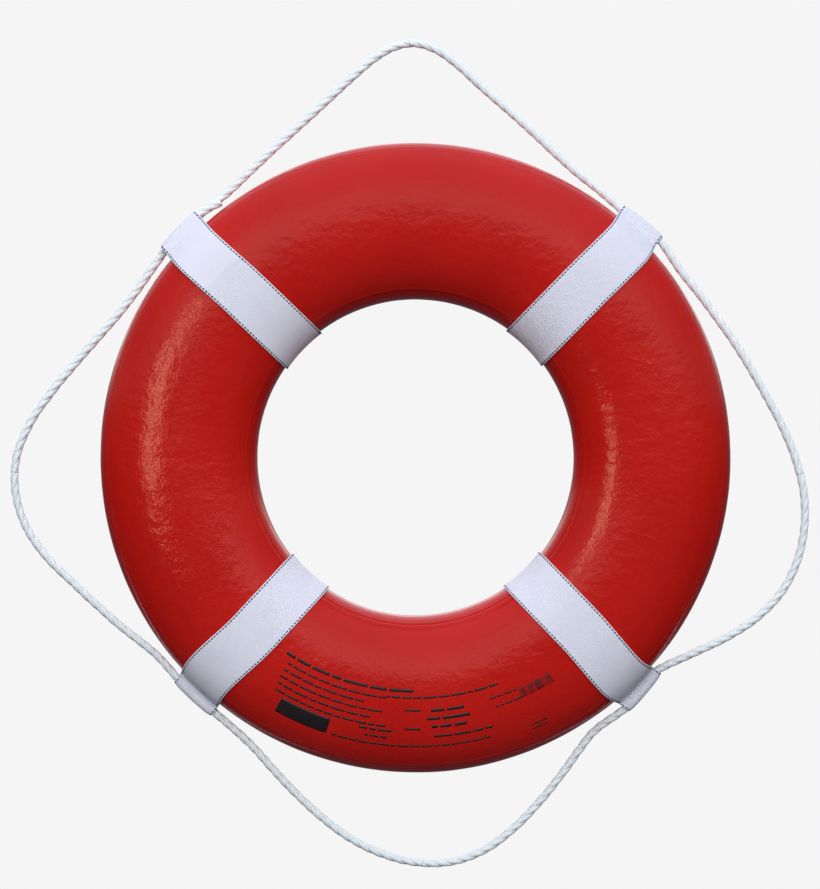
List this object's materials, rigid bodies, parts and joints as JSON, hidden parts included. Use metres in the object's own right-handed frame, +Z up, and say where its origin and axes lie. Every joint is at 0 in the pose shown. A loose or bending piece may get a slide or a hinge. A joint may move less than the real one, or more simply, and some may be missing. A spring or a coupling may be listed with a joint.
{
  "type": "life ring buoy",
  "caption": "Foam ring buoy in a red vinyl skin, with webbing beckets holding a grab line that loops round it.",
  "frame": {"origin": "where a hook carries the grab line's top bight, on the underside of the line, straight above the ring's centre", "axes": "+Z up as the ring hangs, +Y along the ring's own axis towards its rear, so the front faces -Y and +X is to the right seen from the front"},
  "size_m": [0.7736, 0.105, 0.8015],
  "materials": {
    "red_vinyl": "satin",
    "foam": "matte",
    "webbing": "matte",
    "thread": "matte",
    "line": "matte"
  },
  "bodies": {
    "hanging_loop": {"grab_line_top_bight": "line"},
    "buoy": {"foam_core_front": "foam", "foam_core_rear": "foam", "vinyl_skin_front": "red_vinyl", "vinyl_skin_rear": "red_vinyl", "becket_top_left": "webbing", "becket_top_right": "webbing", "becket_bottom_right": "webbing", "becket_bottom_left": "webbing", "becket_stitching_top_left": "thread", "becket_stitching_top_right": "thread", "becket_stitching_bottom_right": "thread", "becket_stitching_bottom_left": "thread", "grab_line_in_top_right": "line", "grab_line_in_bottom_right": "line", "grab_line_in_bottom_left": "line", "grab_line_first_end": "line", "grab_line_last_end": "line"},
    "right_loop": {"grab_line_right_bight": "line"},
    "bottom_loop": {"grab_line_bottom_bight": "line"},
    "left_loop": {"grab_line_left_bight": "line"}
  },
  "joints": [
    {"name": "buoy_swing", "type": "hinge", "parent": "hanging_loop", "child": "buoy", "pos_m": [-0.00413, 0, -0.13767], "axis": [0.9999, 0, 0.0153], "range_deg": [-70, 70]},
    {"name": "right_loop_turn", "type": "hinge", "parent": "buoy", "child": "right_loop", "pos_m": [0.24377, 0, -0.39943], "axis": [0.0022, 0, -1], "range_deg": [-50, 50]},
    {"name": "bottom_loop_turn", "type": "hinge", "parent": "buoy", "child": "bottom_loop", "pos_m": [0.00247, 0, -0.64855], "axis": [-0.9999, 0, -0.0115], "range_deg": [-65, 65]},
    {"name": "left_loop_turn", "type": "hinge", "parent": "buoy", "child": "left_loop", "pos_m": [-0.24362, 0, -0.40462], "axis": [-0.0291, 0, 0.9996], "range_deg": [-50, 50]}
  ]
}
